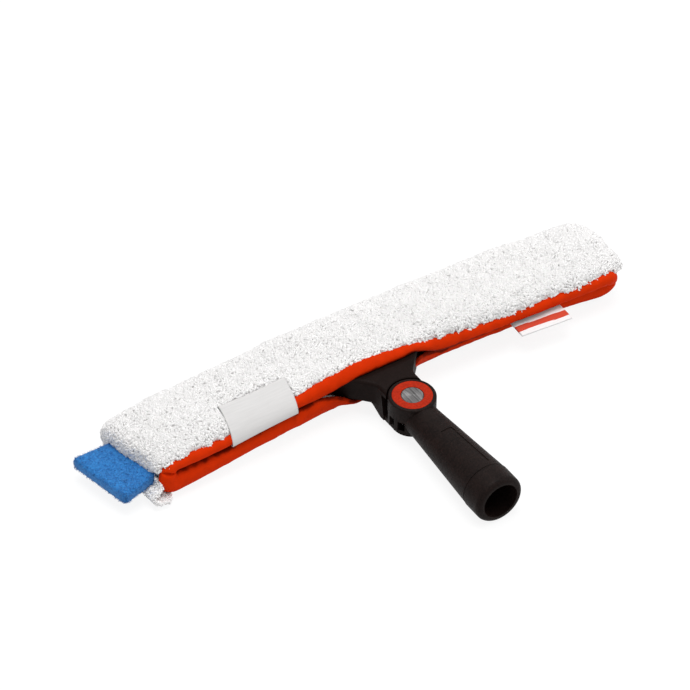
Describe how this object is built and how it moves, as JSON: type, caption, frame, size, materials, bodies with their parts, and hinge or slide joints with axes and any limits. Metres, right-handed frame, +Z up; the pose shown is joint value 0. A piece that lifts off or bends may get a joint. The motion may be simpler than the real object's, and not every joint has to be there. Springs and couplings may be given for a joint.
{
  "type": "window scrubber",
  "caption": "Window washing scrubber: a bound fleece sleeve on a flat T-bar that swivels in click stops on a short tapered handle with a round pole socket.",
  "frame": {"origin": "centre of the pole socket's mouth, on the socket's axis", "axes": "+X along the bar towards the side tag, +Y from the handle to the bar, +Z up, out of the hinge pin's head"},
  "size_m": [0.3845, 0.1891, 0.0368],
  "materials": {
    "handle_plastic": "fine spark-eroded texture",
    "bar_plastic": "smooth satin",
    "ring_plastic": "satin",
    "bush_plastic": "smooth",
    "pin_metal": "turned face",
    "screw_steel": "zinc plated",
    "spring_steel": "rolled",
    "fleece": "looped pile",
    "binding": "woven tape",
    "scrub_felt": "coarse felt",
    "label_satin": "satin ribbon",
    "tag_satin": "woven ribbon"
  },
  "bodies": {
    "handle": {"handle": "handle_plastic", "hinge_ring": "ring_plastic", "pin_bush": "bush_plastic"},
    "head": {"t_bar": "bar_plastic", "hinge_pin": "pin_metal", "pin_washer": "screw_steel", "pin_screw": "screw_steel", "spring_washer": "spring_steel", "detent_spring": "spring_steel", "sleeve_fleece": "fleece", "sleeve_binding": "binding", "scrub_pad": "scrub_felt", "care_label": "label_satin", "side_tag": "tag_satin"}
  },
  "joints": [
    {"name": "head_swivel", "type": "hinge", "parent": "handle", "child": "head", "pos_m": [0, 0.099, 0], "axis": [0, 0, 1], "range_deg": [-90, 90], "deforming": ["detent_spring"]}
  ]
}
